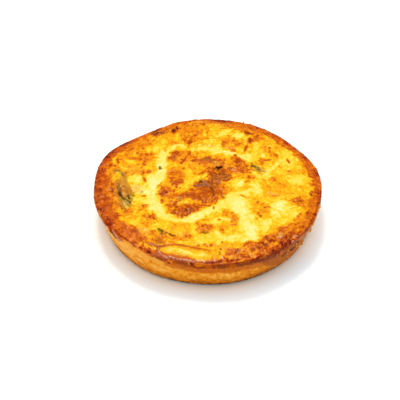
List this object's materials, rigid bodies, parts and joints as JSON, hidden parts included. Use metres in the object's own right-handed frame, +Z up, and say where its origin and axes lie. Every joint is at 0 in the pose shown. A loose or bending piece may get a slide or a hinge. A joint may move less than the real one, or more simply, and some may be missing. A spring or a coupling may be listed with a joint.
{
  "type": "quiche",
  "caption": "Small round quiche: a shortcrust pastry case filled to the brim with browned baked custard, leek and herbs, whole and uncut.",
  "frame": {"origin": "middle of the flat underside, where the quiche rests", "axes": "+Z up through the middle of the quiche, -Y towards the front, +X to the right of someone facing the front"},
  "size_m": [0.1226, 0.1234, 0.0226],
  "materials": {
    "pastry": "golden baked shortcrust, dry and finely grained, browner towards the rim",
    "custard": "baked egg custard, pale yellow with orange to dark brown baked patches, slightly greasy sheen",
    "leek": "roasted leek, olive green edges with a browned top"
  },
  "bodies": {
    "root": {"pastry_case": "pastry", "custard_filling": "custard", "leek_piece": "leek"}
  },
  "joints": []
}
